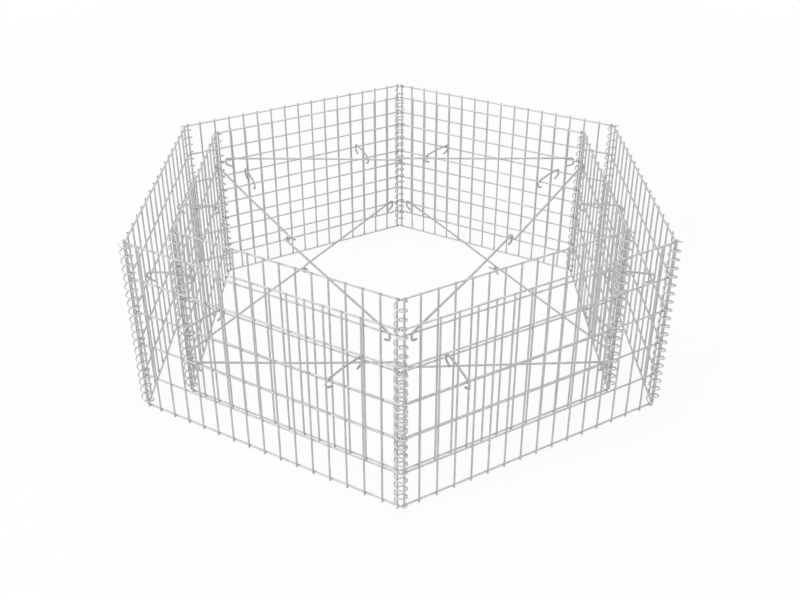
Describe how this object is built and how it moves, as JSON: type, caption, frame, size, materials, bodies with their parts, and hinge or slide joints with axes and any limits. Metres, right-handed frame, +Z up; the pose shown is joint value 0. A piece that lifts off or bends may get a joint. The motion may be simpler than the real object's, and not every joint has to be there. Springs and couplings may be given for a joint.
{
  "type": "hexagonal gabion raised bed",
  "caption": "Empty six-sided double-walled raised bed of galvanised welded mesh panels joined by corner spirals and braced with hooked tie wires.",
  "frame": {"origin": "centre of the footprint, on the ground", "axes": "+Z up; +Y from the middle of the bed through a corner, +X at right angles to a pair of parallel sides"},
  "size_m": [1.4158, 1.63, 0.51],
  "materials": {
    "mesh_wire": "galvanised, matt light grey",
    "spiral_wire": "galvanised, matt light grey",
    "tie_wire": "galvanised, matt grey"
  },
  "bodies": {
    "root": {"outer_panel_1": "mesh_wire", "outer_panel_2": "mesh_wire", "outer_panel_3": "mesh_wire", "outer_panel_4": "mesh_wire", "outer_panel_5": "mesh_wire", "outer_panel_6": "mesh_wire", "inner_panel_1": "mesh_wire", "inner_panel_2": "mesh_wire", "inner_panel_3": "mesh_wire", "inner_panel_4": "mesh_wire", "inner_panel_5": "mesh_wire", "inner_panel_6": "mesh_wire", "outer_spiral_1": "spiral_wire", "outer_spiral_2": "spiral_wire", "outer_spiral_3": "spiral_wire", "outer_spiral_4": "spiral_wire", "outer_spiral_5": "spiral_wire", "outer_spiral_6": "spiral_wire", "inner_spiral_1": "spiral_wire", "inner_spiral_2": "spiral_wire", "inner_spiral_3": "spiral_wire", "inner_spiral_4": "spiral_wire", "inner_spiral_5": "spiral_wire", "inner_spiral_6": "spiral_wire", "upper_tie_1_start": "tie_wire", "upper_tie_1_end": "tie_wire", "upper_tie_2_start": "tie_wire", "upper_tie_2_end": "tie_wire", "upper_tie_3_start": "tie_wire", "upper_tie_3_end": "tie_wire", "lower_tie_1_start": "tie_wire", "lower_tie_1_end": "tie_wire", "lower_tie_2_start": "tie_wire", "lower_tie_2_end": "tie_wire", "lower_tie_3_start": "tie_wire", "lower_tie_3_end": "tie_wire", "spacer_ties_1": "tie_wire", "spacer_ties_2": "tie_wire", "spacer_ties_3": "tie_wire", "spacer_ties_4": "tie_wire", "spacer_ties_5": "tie_wire", "spacer_ties_6": "tie_wire"}
  },
  "joints": []
}
